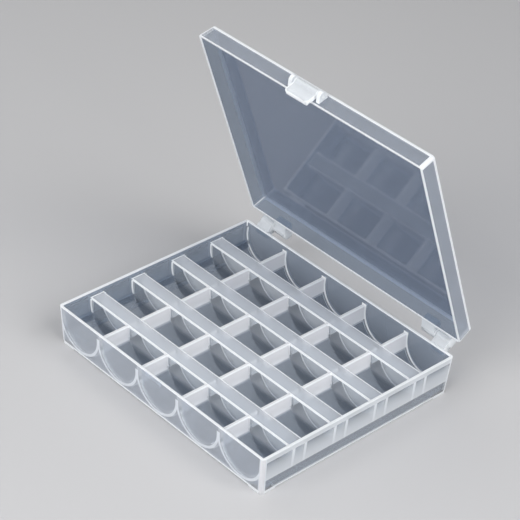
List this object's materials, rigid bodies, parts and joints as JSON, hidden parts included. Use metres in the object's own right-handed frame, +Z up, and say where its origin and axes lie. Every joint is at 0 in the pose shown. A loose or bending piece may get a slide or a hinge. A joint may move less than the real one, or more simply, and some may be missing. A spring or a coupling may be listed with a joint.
{
  "type": "bobbin storage box",
  "caption": "Shallow clear plastic box with a grid of round-bottomed pockets for sewing machine bobbins, a hinged lid and a front clasp.",
  "frame": {"origin": "middle of the tray's underside, in the plane on which the four feet stand", "axes": "+X to the right along the hinge axis, +Y from the clasp side to the hinge side, +Z up out of the pockets"},
  "size_m": [0.122, 0.111, 0.123],
  "materials": {
    "clear_plastic": "gloss",
    "thick_frosted_plastic": "satin"
  },
  "bodies": {
    "tray": {"bobbin_cradle_row_1": "clear_plastic", "bobbin_cradle_row_2": "clear_plastic", "bobbin_cradle_row_3": "clear_plastic", "bobbin_cradle_row_4": "clear_plastic", "bobbin_cradle_row_5": "clear_plastic", "corner_feet": "clear_plastic", "divider_cap_1": "clear_plastic", "divider_cap_2": "clear_plastic", "divider_cap_3": "clear_plastic", "divider_cap_4": "clear_plastic", "hinge_pin_left": "thick_frosted_plastic", "hinge_pin_right": "thick_frosted_plastic", "latch_catch": "clear_plastic", "tray_hinge_knuckle_left": "thick_frosted_plastic", "tray_hinge_knuckle_right": "thick_frosted_plastic", "tray_wall": "clear_plastic"},
    "lid": {"latch_ear_left": "thick_frosted_plastic", "latch_ear_right": "thick_frosted_plastic", "lid_hinge_knuckle_left": "thick_frosted_plastic", "lid_hinge_knuckle_right": "thick_frosted_plastic", "lid_shell": "clear_plastic"},
    "clasp": {"latch_flap": "thick_frosted_plastic"}
  },
  "joints": [
    {"name": "lid_hinge", "type": "hinge", "parent": "tray", "child": "lid", "pos_m": [0, 0.0554, 0.0193], "axis": [-1, 0, 0], "range_deg": [-69.6, 110.4]},
    {"name": "clasp_pivot", "type": "hinge", "parent": "lid", "child": "clasp", "pos_m": [-0.0018, 0.02056, 0.12115], "axis": [-1, 0, 0], "range_deg": [0, 90]}
  ]
}
